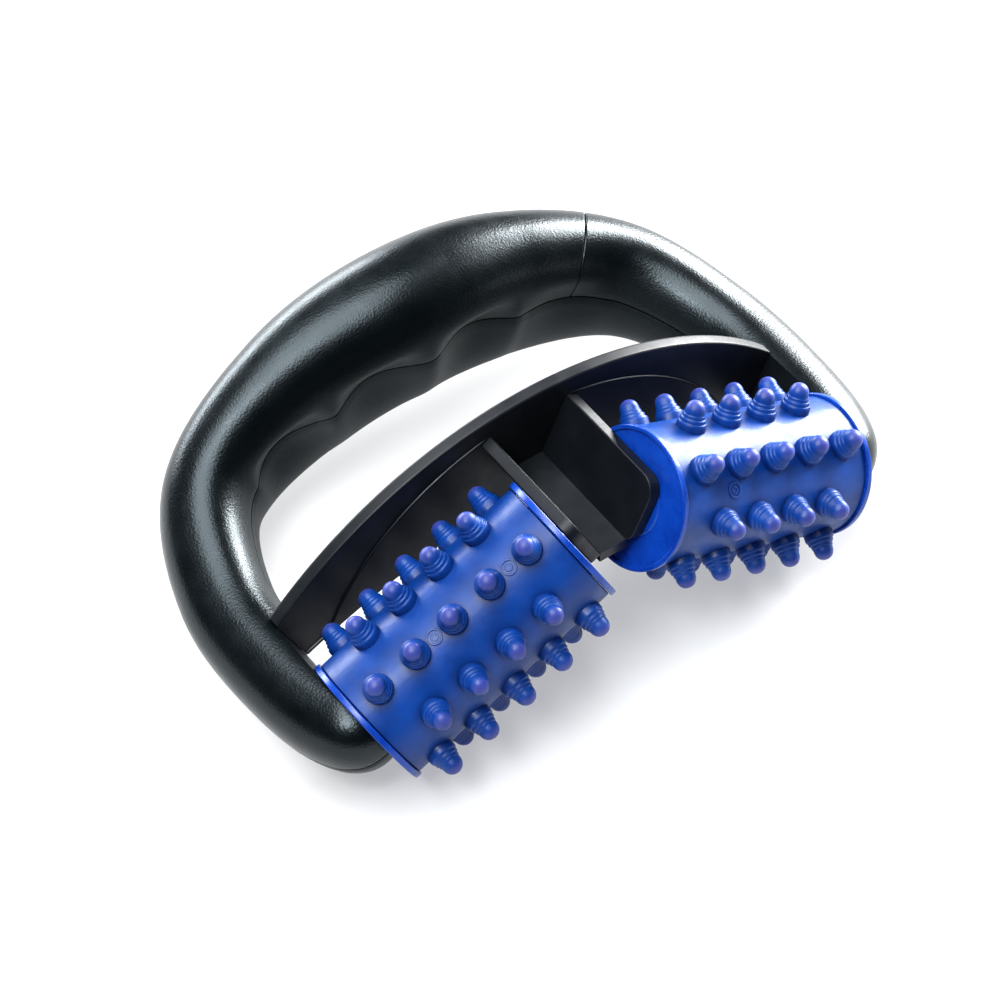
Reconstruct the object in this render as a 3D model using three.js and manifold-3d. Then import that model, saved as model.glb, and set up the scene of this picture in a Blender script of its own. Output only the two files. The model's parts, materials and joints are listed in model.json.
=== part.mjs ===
// Hand-held massage roller: a closed D-shaped handle carries two studded rollers
// on a shallow arch. Millimetres, +Z up, +X to the right, +Y towards the grip.
// Everything is drawn from a datum midway between the two roller centres, and the
// finished group is then set down with its origin under the middle of its base.
import * as THREE from 'three';
import { mergeVertices } from 'three/addons/utils/BufferGeometryUtils.js';
import Module from 'manifold-3d';

const GAP = 0.3; // clearance between neighbouring pieces
const PITCH = 11; // distance between two studs of one row

// Rollers: the two axes fall away to the sides, like a shallow roof.
const ROLLER_TILT = THREE.MathUtils.degToRad(25.5);
const ROLLER_CENTRE_X = 36.2;
const SLEEVE_RADIUS = 15.8;
const SLEEVE_WALL = 2.6;
const SLEEVE_HALF = 28.4;
const STUD_TIP_RADIUS = 22.2;
const STUD_BASE_RADIUS = 3.4;
// Stud outline as shares of its base radius and of its height above the sleeve.
const STUD_STEPS = [[1, 0.2], [0.9, 0.36], [0.77, 0.5], [0.7, 0.64], [0.5, 0.9]];
const STUD_ROWS = 8;
const STUD_PHASE = { left: 108.4, right: 57.6 }; // degrees round the axis
const CAP_RADIUS = 16.5;
const CAP_FACE = 29.7;
const CAP_SPIGOT_END = 20; // how far in the cap reaches, along the axis
const CAP_RECESS = { radius: 6.5, depth: 0.9 }; // room for the washer
const AXLE_RADIUS = 3;

// Faces of the arms and of the lugs that hold the rollers, as distances along the roller axis.
const SUPPORT_FACE = 30.1;
const WASHER_THICKNESS = 0.7;
const WASHER_RADIUS = 6;
const AXLE_SEAT_DEPTH = 8;
const AXLE_BOSS_RADIUS = 6.5;

// Handle: a loop bent down at both sides. Half of its plan, from the grip to an arm's end.
const LOOP_PLAN = [[0, 78.6], [31, 78.2], [57.4, 69.3], [69.1, 46], [70.6, 22], [67.8, 3.5], [60, -9]];
const GRIP_HEIGHT = 6.5;
const ARCH_DROP = 20;
const ARCH_POWER = 1.5;
const LOOP_HALF_WIDTH = 71;
const ARM_ROLL = THREE.MathUtils.degToRad(27);
// Half width, height above and depth below the parting line.
const GRIP_SECTION = { a: 15, above: 18.5, below: 19.5 };
const ARM_SECTION = { a: 10.4, above: 11, below: 9.5 };
const SECTION_POWER = 2.3;
const ARM_TAPER = 12; // length of an arm's rounded end
const END_TAPER = 0.96;
// Distances from the middle over which the grip turns into the arms.
const NARROW_END = 60;
const SHALLOW_START = 12;
const SHALLOW_END = 100;
const SHELL_WALL = 2.4;
const COVER_SEAM = 48.6; // along the loop, from its middle
const COVER_SKEW = 4.2; // how far the seam leans along the loop from its middle to each side
const FINGER_PITCH = 26.7;
const FINGER_DEPTHS = [4.4, 4.4, 4.4, 2]; // from left to right
const CUSP_ROUND = 0.3;

// Bridge: an arched wall across the loop with two lugs that hold the inner axle ends.
const WALL_BACK = 29.2;
const WALL_THICKNESS = 3.2;
const WALL_TOP = 28.6;
const WALL_TOP_RADIUS = 93;
const WALL_BOTTOM = -2.2;
const WALL_BOTTOM_FALL = 0.0039;
const LUG_THICKNESS = 3;
const LUG_TOP = 9.6; // from the axis
const LUG_BOTTOM = 8.2;
const LUG_END_Y = -6.8;
const LUG_CORNER = 4.5;
const WEB = { half: 3.6, thickness: 2.8, end: -5.5, top: 8.2 };
const TAB = { low: -5, high: 8, far: 36 };

// Shell screws, as places along the loop.
const SCREW_PLACES = [-113, -75, -25, 25, 75, 113];
const SCREW = { head: 2.8, headHeight: 2.2, shank: 1.5, length: 14, seat: -6 };
const SCREW_SLOT = { half: 0.4, depth: 0.8 };
const POST_RADIUS = { upper: 3.8, lower: 4.6 };

// Longest straight step along the loop, for its skin and for its hollow.
const LOOP_STEP = { skin: 5.8, hollow: 13 };
const BEYOND = 60; // a cut this long passes clear of every piece

const MATERIALS = {
  handle: { color: 0x15181c, roughness: 0.42, metalness: 0 },
  bridge: { color: 0x24272a, roughness: 0.45, metalness: 0 },
  sleeve: { color: 0x1f49c8, roughness: 0.4, metalness: 0 },
  cap: { color: 0x1230b0, roughness: 0.25, metalness: 0 },
  core: { color: 0xd8dade, roughness: 0.6, metalness: 0 },
  steel: { color: 0xb8bcc0, roughness: 0.3, metalness: 1 },
  washer: { color: 0x2a2c2e, roughness: 0.5, metalness: 0 },
};

const wasm = await Module();
wasm.setup();

// ---------------------------------------------------------------- solids
function solid(geometry) {
  const bare = geometry.index ? geometry.toNonIndexed() : geometry.clone();
  bare.deleteAttribute('normal');
  bare.deleteAttribute('uv');
  const merged = mergeVertices(bare, 1e-4);
  return new wasm.Manifold(new wasm.Mesh({
    numProp: 3,
    vertProperties: new Float32Array(merged.attributes.position.array),
    triVerts: new Uint32Array(merged.index.array),
  }));
}

function geometryOf(shape) {
  const mesh = shape.getMesh();
  const geometry = new THREE.BufferGeometry();
  geometry.setAttribute('position', new THREE.BufferAttribute(new Float32Array(mesh.vertProperties), 3));
  geometry.setIndex(new THREE.BufferAttribute(new Uint32Array(mesh.triVerts), 1));
  geometry.computeVertexNormals();
  return geometry;
}

function piece(name, geometry, material) {
  const mesh = new THREE.Mesh(geometry, new THREE.MeshStandardMaterial(MATERIALS[material]));
  mesh.name = name;
  return mesh;
}

// A turned piece about local Z, from [radius, z] points.
function turned(points, segments = 32) {
  const profile = points.map(([r, z]) => new THREE.Vector2(r, z));
  return new THREE.LatheGeometry(profile, segments).rotateX(Math.PI / 2);
}

function rod(radius, from, to, segments = 16) {
  return turned([[0, from], [radius, from], [radius, to], [0, to]], segments);
}

function ring(inner, outer, from, to, segments = 32) {
  return turned([[inner, from], [outer, from], [outer, to], [inner, to], [inner, from]], segments);
}

function box(x0, x1, y0, y1, z0, z1) {
  const geometry = new THREE.BoxGeometry(x1 - x0, y1 - y0, z1 - z0);
  return geometry.translate((x0 + x1) / 2, (y0 + y1) / 2, (z0 + z1) / 2);
}

// ---------------------------------------------------------------- roller frames
// Local Z runs along the axle from the outer end to the inner end, local Y stands
// square to it in the upright plane of the two axles.
function rollerMatrix(side) {
  const along = new THREE.Vector3(-side * Math.cos(ROLLER_TILT), 0, Math.sin(ROLLER_TILT));
  const up = new THREE.Vector3(side * Math.sin(ROLLER_TILT), 0, Math.cos(ROLLER_TILT));
  const across = new THREE.Vector3().crossVectors(up, along);
  return new THREE.Matrix4().makeBasis(across, up, along).setPosition(side * ROLLER_CENTRE_X, 0, 0);
}

// A box in a roller's frame whose depth is given by world Y.
function rollerBox(side, y0, y1, w0, w1, z0, z1) {
  const [x0, x1] = side < 0 ? [y0, y1] : [-y1, -y0];
  return box(x0, x1, w0, w1, z0, z1).applyMatrix4(rollerMatrix(side));
}

// ---------------------------------------------------------------- rollers
function stud() {
  const body = SLEEVE_RADIUS - 1;
  const r = STUD_BASE_RADIUS;
  const rise = STUD_TIP_RADIUS - SLEEVE_RADIUS;
  const steps = STUD_STEPS.map(([share, height]) => [r * share, SLEEVE_RADIUS + height * rise]);
  return turned([[0, body], [r, body], ...steps, [0, STUD_TIP_RADIUS]], 6);
}

function sleeve(phase) {
  const tube = ring(SLEEVE_RADIUS - SLEEVE_WALL, SLEEVE_RADIUS, -SLEEVE_HALF, SLEEVE_HALF, 32);
  let result = solid(tube);
  const upright = stud();
  for (let row = 0; row < STUD_ROWS; row += 1) {
    const count = row % 2 === 0 ? 5 : 4;
    const angle = THREE.MathUtils.degToRad(phase + row * (360 / STUD_ROWS));
    for (let i = 0; i < count; i += 1) {
      const z = (i - (count - 1) / 2) * PITCH;
      const one = upright.clone().rotateY(Math.PI / 2).rotateZ(angle).translate(0, 0, z);
      result = result.add(solid(one));
    }
  }
  return geometryOf(result);
}

function endCap(direction) {
  const inside = SLEEVE_RADIUS - SLEEVE_WALL - SHELL_WALL - 2 * GAP;
  const bore = AXLE_RADIUS + GAP;
  const flange = SLEEVE_HALF + GAP;
  const floor = CAP_FACE - CAP_RECESS.depth;
  const edge = 0.4;
  const geometry = turned([[bore, CAP_SPIGOT_END], [inside, CAP_SPIGOT_END], [inside, flange],
    [CAP_RADIUS, flange], [CAP_RADIUS, CAP_FACE - edge], [CAP_RADIUS - edge, CAP_FACE],
    [CAP_RECESS.radius, CAP_FACE], [CAP_RECESS.radius, floor], [bore, floor],
    [bore, CAP_SPIGOT_END]], 28);
  return direction > 0 ? geometry : geometry.rotateX(Math.PI);
}

function core() {
  const outer = SLEEVE_RADIUS - SLEEVE_WALL - GAP;
  return ring(outer - SHELL_WALL, outer, -SLEEVE_HALF, SLEEVE_HALF, 24);
}

function washer(direction) {
  const to = SUPPORT_FACE - GAP;
  const geometry = ring(AXLE_RADIUS + GAP, WASHER_RADIUS, to - WASHER_THICKNESS, to, 20);
  return direction > 0 ? geometry : geometry.rotateX(Math.PI);
}

function axle() {
  const outerEnd = SUPPORT_FACE + AXLE_SEAT_DEPTH - GAP;
  const innerEnd = SUPPORT_FACE + LUG_THICKNESS - 1 - GAP;
  return rod(AXLE_RADIUS, -outerEnd, innerEnd);
}

function rollerGroup(name, side) {
  const group = new THREE.Group();
  group.applyMatrix4(rollerMatrix(side));
  group.add(
    piece(`${name}_roller_sleeve`, sleeve(STUD_PHASE[name]), 'sleeve'),
    piece(`${name}_roller_core`, core(), 'core'),
    piece(`${name}_inner_end_cap`, endCap(1), 'cap'),
    piece(`${name}_outer_end_cap`, endCap(-1), 'cap'),
    piece(`${name}_axle`, axle(), 'steel'),
    piece(`${name}_inner_washer`, washer(1), 'washer'),
    piece(`${name}_outer_washer`, washer(-1), 'washer'),
  );
  return group;
}

// ---------------------------------------------------------------- handle loop
function loopHeight(x) {
  return GRIP_HEIGHT - ARCH_DROP * Math.abs(x / LOOP_HALF_WIDTH) ** ARCH_POWER;
}

function loopCurve() {
  const right = LOOP_PLAN.map(([x, y]) => new THREE.Vector3(x, y, loopHeight(x)));
  const left = right.slice(1).reverse().map((p) => new THREE.Vector3(-p.x, p.y, p.z));
  const curve = new THREE.CatmullRomCurve3([...left, ...right], false, 'centripetal');
  curve.arcLengthDivisions = 600;
  return curve;
}

const LOOP = loopCurve();
const LOOP_HALF = LOOP.getLength() / 2;

// Frame at a distance along the loop: origin, outward, up and the section's half sizes.
function loopFrame(distance) {
  const u = THREE.MathUtils.clamp(0.5 + distance / (2 * LOOP_HALF), 0, 1);
  const origin = LOOP.getPointAt(u);
  const along = LOOP.getTangentAt(u);
  const level = new THREE.Vector3(0, 0, 1).cross(along).normalize();
  const square = new THREE.Vector3().crossVectors(along, level);
  const roll = ARM_ROLL * Math.min(1, (origin.x / LOOP_HALF_WIDTH) ** 2);
  const outward = level.clone().multiplyScalar(Math.cos(roll)).addScaledVector(square, -Math.sin(roll));
  const up = square.clone().multiplyScalar(Math.cos(roll)).addScaledVector(level, Math.sin(roll));
  const far = Math.abs(distance);
  const narrow = THREE.MathUtils.smoothstep(far, 0, NARROW_END);
  const shallow = THREE.MathUtils.smoothstep(far, SHALLOW_START, SHALLOW_END);
  const intoEnd = THREE.MathUtils.clamp((far - (LOOP_HALF - ARM_TAPER)) / ARM_TAPER, 0, 1);
  const taper = Math.sqrt(1 - END_TAPER * intoEnd ** 2);
  return {
    origin, outward, up, along, taper,
    a: THREE.MathUtils.lerp(GRIP_SECTION.a, ARM_SECTION.a, narrow),
    above: THREE.MathUtils.lerp(GRIP_SECTION.above, ARM_SECTION.above, shallow),
    below: THREE.MathUtils.lerp(GRIP_SECTION.below, ARM_SECTION.below, shallow),
  };
}

// How far the finger hollows press the inner side of the loop outwards.
function fingerHollow(x, u, v) {
  const reach = (FINGER_PITCH * FINGER_DEPTHS.length) / 2;
  if (Math.abs(x) >= reach) return 0;
  const depth = FINGER_DEPTHS[Math.floor((x + reach) / FINGER_PITCH)];
  const softened = (swing) => Math.hypot(swing, CUSP_ROUND) - CUSP_ROUND;
  const wave = softened(Math.sin((Math.PI * x) / FINGER_PITCH)) / softened(1);
  const inner = THREE.MathUtils.smoothstep(-u, 0.25, 0.8);
  const fade = v > 0 ? THREE.MathUtils.smoothstep(v, 0, 0.6) : THREE.MathUtils.smoothstep(-v, 0.05, 1);
  return depth * wave * inner * (1 - fade);
}

// An end of a shell leans only where it meets the cover's seam.
function endAt(end, u) {
  return Math.abs(end - COVER_SEAM) < 1 ? end + COVER_SKEW * u : end;
}

// Bends a unit section, extruded from z = 0 to 1, round the loop between two distances.
function bend(geometry, from, to, inset, lift) {
  const place = geometry.attributes.position;
  for (let i = 0; i < place.count; i += 1) {
    const [u, v] = [place.getX(i), place.getY(i)];
    const distance = THREE.MathUtils.lerp(endAt(from, u), endAt(to, u), place.getZ(i));
    const f = loopFrame(distance);
    const outward = u * (f.a - inset) * f.taper + fingerHollow(f.origin.x, u, v);
    const tall = (v > 0 ? f.above : f.below) - inset;
    const up = v * tall * f.taper + lift;
    const p = f.origin.clone().addScaledVector(f.outward, outward).addScaledVector(f.up, up);
    place.setXYZ(i, p.x, p.y, p.z);
  }
  return geometry;
}

// Unit oval section between two angles, given in quarter turns from straight outward.
function ovalShape(fromQuarter, toQuarter, steps) {
  const points = [];
  for (let i = 0; i <= steps; i += 1) {
    const angle = (Math.PI / 2) * THREE.MathUtils.lerp(fromQuarter, toQuarter, i / steps);
    const power = 2 / SECTION_POWER;
    const x = Math.sign(Math.cos(angle)) * Math.abs(Math.cos(angle)) ** power;
    const y = Math.sign(Math.sin(angle)) * Math.abs(Math.sin(angle)) ** power;
    points.push(new THREE.Vector2(x, y));
  }
  return new THREE.Shape(points);
}

function loopSolid(shape, from, to, inset, lift, stepLength) {
  const steps = Math.ceil((to - from) / stepLength);
  const extruded = new THREE.ExtrudeGeometry(shape, { depth: 1, steps, bevelEnabled: false });
  return solid(bend(extruded, from, to, inset, lift));
}

function halfLoop(upper, from, to) {
  const shape = upper ? ovalShape(0, 2, 9) : ovalShape(2, 4, 9);
  return loopSolid(shape, from, to, 0, upper ? GAP / 2 : -GAP / 2, LOOP_STEP.skin);
}

function loopCavity() {
  const end = LOOP_HALF - SHELL_WALL;
  return loopSolid(ovalShape(0, 3.5, 7), -end, end, SHELL_WALL, 0, LOOP_STEP.hollow);
}

// The room the rollers need between the arms, grown outward by a margin.
function rollerRoom(side, margin) {
  const [back, outer] = [WALL_BACK + GAP + margin, -SUPPORT_FACE - margin];
  return solid(rollerBox(side, -BEYOND, back, -BEYOND, BEYOND, outer, BEYOND));
}

function atLoop(geometry, distance) {
  const f = loopFrame(distance);
  const turn = new THREE.Matrix4().makeBasis(f.outward, f.along.clone().negate(), f.up);
  return geometry.applyMatrix4(turn.setPosition(f.origin));
}

function inRoller(geometry, side) {
  return geometry.applyMatrix4(rollerMatrix(side));
}

function tabBox(side, grow) {
  return rollerBox(side, WALL_BACK - WALL_THICKNESS - grow, WALL_BACK + grow,
    TAB.low - grow, TAB.high + grow, -TAB.far - grow, -SUPPORT_FACE + 2);
}

function handleShell(upper, from, to) {
  let outer = halfLoop(upper, from, to);
  let cavity = loopCavity();
  for (const side of [-1, 1]) {
    outer = outer.subtract(rollerRoom(side, 0));
    cavity = cavity.subtract(rollerRoom(side, SHELL_WALL));
  }
  let shell = outer.subtract(cavity);
  const places = SCREW_PLACES.filter((place) => place > from && place < to);
  for (const place of places) {
    const post = upper ? rod(POST_RADIUS.upper, 0, BEYOND, 10) : rod(POST_RADIUS.lower, -BEYOND, 0, 10);
    shell = shell.add(outer.intersect(solid(atLoop(post, place))));
  }
  for (const side of [-1, 1]) {
    const boss = rod(AXLE_BOSS_RADIUS, -SUPPORT_FACE - AXLE_SEAT_DEPTH - 2, -SUPPORT_FACE + 1);
    const bore = rod(AXLE_RADIUS + GAP, -SUPPORT_FACE - AXLE_SEAT_DEPTH, -SUPPORT_FACE + 2);
    shell = shell.add(outer.intersect(solid(inRoller(boss, side))));
    shell = shell.subtract(solid(inRoller(bore, side)));
    shell = shell.subtract(solid(tabBox(side, GAP)));
  }
  for (const place of places) shell = shell.subtract(screwHole(place));
  return geometryOf(shell);
}

function screwHole(place) {
  const { head, shank, length, seat } = SCREW;
  const hole = rod(shank + GAP, seat - 1, seat + length + GAP, 10);
  const well = rod(head + GAP, -BEYOND, seat, 12);
  return solid(atLoop(hole, place)).add(solid(atLoop(well, place)));
}

function screw(place) {
  const { head, headHeight, shank, length, seat } = SCREW;
  const below = seat - GAP;
  const crown = below - headHeight;
  const profile = [[0, crown], [head * 0.7, crown], [head, crown + 1.3], [head, below],
    [shank, below], [shank, below + length - 2], [0, below + length]];
  const { half, depth } = SCREW_SLOT;
  const slot = box(-head - 1, head + 1, -half, half, crown - 1, crown + depth);
  return atLoop(geometryOf(solid(turned(profile, 12)).subtract(solid(slot))), place);
}

// ---------------------------------------------------------------- bridge
function wallTop(x) {
  return WALL_TOP - WALL_TOP_RADIUS + Math.sqrt(WALL_TOP_RADIUS ** 2 - x ** 2);
}

function wallBottom(x) {
  return WALL_BOTTOM - WALL_BOTTOM_FALL * x ** 2;
}

// Where an edge of the wall meets the inner face of the right arm, less the clearance.
function wallEnd(edge) {
  let x = ROLLER_CENTRE_X;
  for (let i = 0; i < 40; i += 1) {
    const reach = SUPPORT_FACE - GAP + edge(x) * Math.sin(ROLLER_TILT);
    x = ROLLER_CENTRE_X + reach / Math.cos(ROLLER_TILT);
  }
  return x;
}

function bridgeWall() {
  const shape = new THREE.Shape();
  const topEnd = wallEnd(wallTop);
  const bottomEnd = wallEnd(wallBottom);
  const steps = 24;
  for (let i = 0; i <= steps; i += 1) {
    const x = THREE.MathUtils.lerp(-bottomEnd, bottomEnd, i / steps);
    if (i === 0) shape.moveTo(x, wallBottom(x));
    else shape.lineTo(x, wallBottom(x));
  }
  for (let i = 0; i <= steps; i += 1) {
    const x = THREE.MathUtils.lerp(topEnd, -topEnd, i / steps);
    shape.lineTo(x, wallTop(x));
  }
  const wall = new THREE.ExtrudeGeometry(shape, { depth: WALL_THICKNESS, bevelEnabled: false });
  return wall.rotateX(Math.PI / 2).translate(0, WALL_BACK, 0);
}

function lug(side) {
  const [back, end, r] = [WALL_BACK - 1, LUG_END_Y, LUG_CORNER];
  const shape = new THREE.Shape();
  shape.moveTo(back, -LUG_BOTTOM);
  shape.lineTo(back, LUG_TOP);
  shape.lineTo(end + r, LUG_TOP);
  shape.absarc(end + r, LUG_TOP - r, r, Math.PI / 2, Math.PI, false);
  shape.absarc(end + r, -LUG_BOTTOM + r, r, Math.PI, 1.5 * Math.PI, false);
  const options = { depth: LUG_THICKNESS, bevelEnabled: false, curveSegments: 8 };
  const plate = new THREE.ExtrudeGeometry(shape, options);
  if (side > 0) plate.rotateY(Math.PI).translate(0, 0, LUG_THICKNESS);
  return plate.translate(0, 0, SUPPORT_FACE).applyMatrix4(rollerMatrix(side));
}

function bridge() {
  const front = WALL_BACK - WALL_THICKNESS;
  let shape = solid(bridgeWall());
  const web = box(-WEB.half, WEB.half, WEB.end, front + 1, WEB.top - WEB.thickness, WEB.top);
  shape = shape.add(solid(web));
  for (const side of [-1, 1]) {
    const seat = rod(AXLE_RADIUS + GAP, SUPPORT_FACE - 1, SUPPORT_FACE + LUG_THICKNESS - 1);
    shape = shape.add(solid(lug(side))).add(solid(tabBox(side, 0)));
    shape = shape.subtract(solid(inRoller(seat, side)));
  }
  return geometryOf(shape);
}

// ---------------------------------------------------------------- assembly
function massageRoller() {
  const body = new THREE.Group();
  body.add(
    piece('upper_handle_shell', handleShell(true, -LOOP_HALF, COVER_SEAM - GAP / 2), 'handle'),
    piece('upper_end_cover', handleShell(true, COVER_SEAM + GAP / 2, LOOP_HALF), 'handle'),
    piece('lower_handle_shell', handleShell(false, -LOOP_HALF, LOOP_HALF), 'handle'),
    piece('roller_bridge', bridge(), 'bridge'),
    rollerGroup('left', -1),
    rollerGroup('right', 1),
  );
  SCREW_PLACES.forEach((place, i) => body.add(piece(`shell_screw_${i + 1}`, screw(place), 'steel')));
  return body;
}

// Sets the model down on its base, with the origin under the middle of its box.
function standOnOrigin(body) {
  const extent = new THREE.Box3().setFromObject(body, true);
  const middle = extent.getCenter(new THREE.Vector3());
  body.position.set(0, -middle.y, -extent.min.z);
  const whole = new THREE.Group();
  whole.add(body);
  return whole;
}

export default standOnOrigin(massageRoller());
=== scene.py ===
import json
import math

import bmesh
import bpy
import numpy as np
from mathutils import Matrix, Vector


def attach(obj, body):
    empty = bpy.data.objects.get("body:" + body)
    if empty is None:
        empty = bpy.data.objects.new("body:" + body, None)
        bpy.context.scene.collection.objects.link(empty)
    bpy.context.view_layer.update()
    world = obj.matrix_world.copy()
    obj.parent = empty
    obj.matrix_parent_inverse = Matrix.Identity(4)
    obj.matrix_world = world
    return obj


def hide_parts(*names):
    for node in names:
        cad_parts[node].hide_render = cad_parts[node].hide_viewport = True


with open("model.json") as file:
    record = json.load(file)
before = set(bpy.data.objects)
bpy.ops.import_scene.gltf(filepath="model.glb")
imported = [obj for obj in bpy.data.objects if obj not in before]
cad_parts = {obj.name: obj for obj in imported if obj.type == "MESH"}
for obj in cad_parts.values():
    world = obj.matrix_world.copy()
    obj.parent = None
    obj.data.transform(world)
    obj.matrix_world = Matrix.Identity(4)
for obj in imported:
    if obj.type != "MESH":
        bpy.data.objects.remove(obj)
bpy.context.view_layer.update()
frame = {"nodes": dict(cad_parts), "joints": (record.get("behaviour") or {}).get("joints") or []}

# Fine meshes are drawn in millimetres from a datum midway between the two rollers.
MM = 0.001
JOINTS = {joint["name"]: joint for joint in frame["joints"]}
SPIN = {-1: JOINTS["left_roller_spin"], 1: JOINTS["right_roller_spin"]}
SIDE_NAMES = {-1: "left", 1: "right"}
DATUM = (np.array(SPIN[-1]["pos_m"]) + np.array(SPIN[1]["pos_m"])) / 2

# Clearances and rollers
GAP = 0.3
ROLLER_CENTRE_X = (SPIN[1]["pos_m"][0] - SPIN[-1]["pos_m"][0]) / 2 / MM
ROLLER_TILT = math.atan2(SPIN[-1]["axis"][2], SPIN[-1]["axis"][0])
SLEEVE_RADIUS = 15.8
SLEEVE_BORE = 13.2
SLEEVE_HALF = 28.4
SLEEVE_EDGE = 0.35
CORE_WALL = 2.4
CAP_RADIUS = 16.5
CAP_GAP = 0.08  # between a sleeve and the flange of its cap
CAP_FACE = 29.95
CAP_DISH = {"rim": 15.5, "hub": 8.2, "depth": 0.35, "slope": 0.2}  # the sunk ring of a cap's face
CAP_RECESS = {"radius": 6.5, "depth": 1.0}  # room for the washer
CAP_PLUG_END = 20.0
CAP_BORE_MIDDLE = 24.0  # where the profile of a cap starts and closes, inside its bore
AXLE_RADIUS = 3.0
AXLE_EDGE = 0.4
AXLE_SEAT_DEPTH = 8.0
AXLE_LUG_SKIN = 1.0  # what is left of a lug behind its axle's seat
SUPPORT_FACE = 30.1
WASHER_THICKNESS = 0.7
WASHER_RADIUS = 6.0

# Studs and the mould's gate marks, at degrees round the axis and millimetres along it
STUD_ROWS = 8
STUD_PITCH = 11.0
STUD_PHASE = {-1: 108.4, 1: 57.6}  # degrees to the first row
STUD_STEPS = [
    (3.4, -1.4), (3.4, 1.2), (3.28, 1.62), (3.02, 1.75), (2.98, 2.5),
    (2.62, 2.72), (2.58, 3.35), (2.38, 3.52), (2.34, 4.0),
]
STUD_HEIGHT = 6.4
STUD_LOBES = {"count": 4, "swell": 0.022, "rise": (2, 3), "fall": (5.4, 6.2)}
TIP_SPAN = (20.0, 22.2)  # distances from the axis between which a stud turns paler
TIP_SHARE = 0.45
GATE_MARKS = {-1: [(108.4, 16.5), (108.4, -5.5)], 1: [(37.5, 13.5)]}
GATE_RINGS = [(0.5, 0.95, 0.12), (1.45, 1.9, 0.19)]  # inner and outer radius, and height

# Handle loop: half of its plan, its height, and its section at the grip and at the arms
LOOP_PLAN = [(0, 78.6), (31, 78.2), (57.4, 69.3), (69.1, 46), (70.6, 22), (67.8, 3.5), (60, -9)]
GRIP_HEIGHT = 6.5
ARCH_DROP = 20.0
ARCH_POWER = 1.5
LOOP_HALF_WIDTH = 71.0
ARM_ROLL = math.radians(27)
GRIP_SECTION = {"half": 15.0, "above": 18.5, "below": 19.5}
ARM_SECTION = {"half": 10.4, "above": 11.0, "below": 9.5}
SECTION_POWER = 2.3
ARM_TAPER = 12.0
END_TAPER = 0.96
NARROW_SPAN = (0, 60)
SHALLOW_SPAN = (12, 100)
COVER_SEAM = 48.6
SEAM_GAP = 0.14
COVER_SKEW = 4.2  # how far the seam leans along the loop from its middle to each side
COVER_SKEW_REACH = 20.0
FINGER_PITCH = 26.7
FINGER_DEPTHS = np.array([4.4, 4.4, 4.4, 2.0])  # from left to right
CUSP_ROUND = 0.3
HOLLOW_INWARD = (0.25, 0.8)  # shares of the half width between which a hollow grows
HOLLOW_ABOVE = (0, 0.38)  # shares of the height between which it fades out upwards
HOLLOW_BELOW = (0.05, 1.0)  # and downwards

# Fineness and edges of the shells
OVAL_POINTS = 64
PARTING_POINTS = 16
STATION_STEP = 0.9
END_ROUND = {"reach": 0.45, "depth": 0.3}
PARTING_LIP = {"reach": 0.3, "depth": 0.24}

# Bridge
WALL_BACK = 29.2
WALL_THICKNESS = 3.2
WALL_TOP = 28.6
WALL_TOP_RADIUS = 93.0
WALL_BOTTOM = -2.2
WALL_BOTTOM_FALL = 0.0039
CREASE_TOP = 24.2
CREASE_RADIUS = 60.0
CREASE_LEAST = 1.2  # least height over the bottom edge
CREASE_CORNERS = [(-0.45, 1), (-0.12, 0.7), (0.0, 0)]  # rise, and share of the step
WALL_EDGE = 0.55
RIM_BACK = (1.3, 0.9)  # depth and height of the rim's back edge, as shares of WALL_EDGE
WALL_STEP = 0.4
STEP_FADE = (9, 15)  # distances from the middle between which the step grows
WALL_OVERLAP = 1.0  # how far the lugs and the web run into the wall
LUG_THICKNESS = 3.0
LUG_TOP = 9.6  # from the axis
LUG_BOTTOM = 8.2
LUG_END_Y = -6.8
LUG_CORNER = 4.5
LUG_EDGE = 0.35
WEB_HALF = 3.6
WEB_TOP = 8.2
WEB_THICKNESS = 2.8
WEB_END_Y = -5.5

# Screws
SCREW_PLACES = [-113, -75, -25, 25, 75, 113]  # along the loop
SCREW_SEAT = -6.0
SCREW_HEAD = {"radius": 2.8, "height": 2.2, "face": 0.72, "bevel": 1.1}  # face as a share of the radius
SCREW_SHANK = {"radius": 1.5, "length": 14.0, "point": 2.0}
SCREW_CROSS = {"arm": 1.5, "half": 0.32, "depth": 1.0}
WELL = {"end": -30.0, "flare": 0.5, "mouth": 0.05}  # where its cutter ends, and how it widens outwards

# Room between the arms: how far it reaches forwards, up and down, and along an axis past its middle
ROOM = {"reach": 60.0, "inner_end": 45.0}


# ------------------------------------------------------------------ mesh helpers
def smoothstep(value, low, high):
    t = np.clip((value - low) / (high - low), 0, 1)
    return t * t * (3 - 2 * t)


def lerp(a, b, t):
    return a + (b - a) * t


def mesh_object(name, points, faces):
    """A mesh object from millimetre points round the datum."""
    mesh = bpy.data.meshes.new(name)
    placed = np.asarray(points, float) * MM + DATUM
    mesh.from_pydata([tuple(p) for p in placed], [], [tuple(int(i) for i in f) for f in faces])
    obj = bpy.data.objects.new(name, mesh)
    bpy.context.scene.collection.objects.link(obj)
    return obj


def edit(obj, change):
    """Runs change(bmesh) on the object's mesh."""
    shape = bmesh.new()
    shape.from_mesh(obj.data)
    change(shape)
    shape.to_mesh(obj.data)
    shape.free()
    return obj


def face_outward(obj):
    return edit(obj, lambda shape: bmesh.ops.recalc_face_normals(shape, faces=shape.faces))


def join(objects):
    """One object from several closed bodies."""
    whole = bmesh.new()
    for obj in objects:
        whole.from_mesh(obj.data)
    first = objects[0]
    whole.to_mesh(first.data)
    whole.free()
    for obj in objects[1:]:
        bpy.data.objects.remove(obj)
    return first


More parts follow.
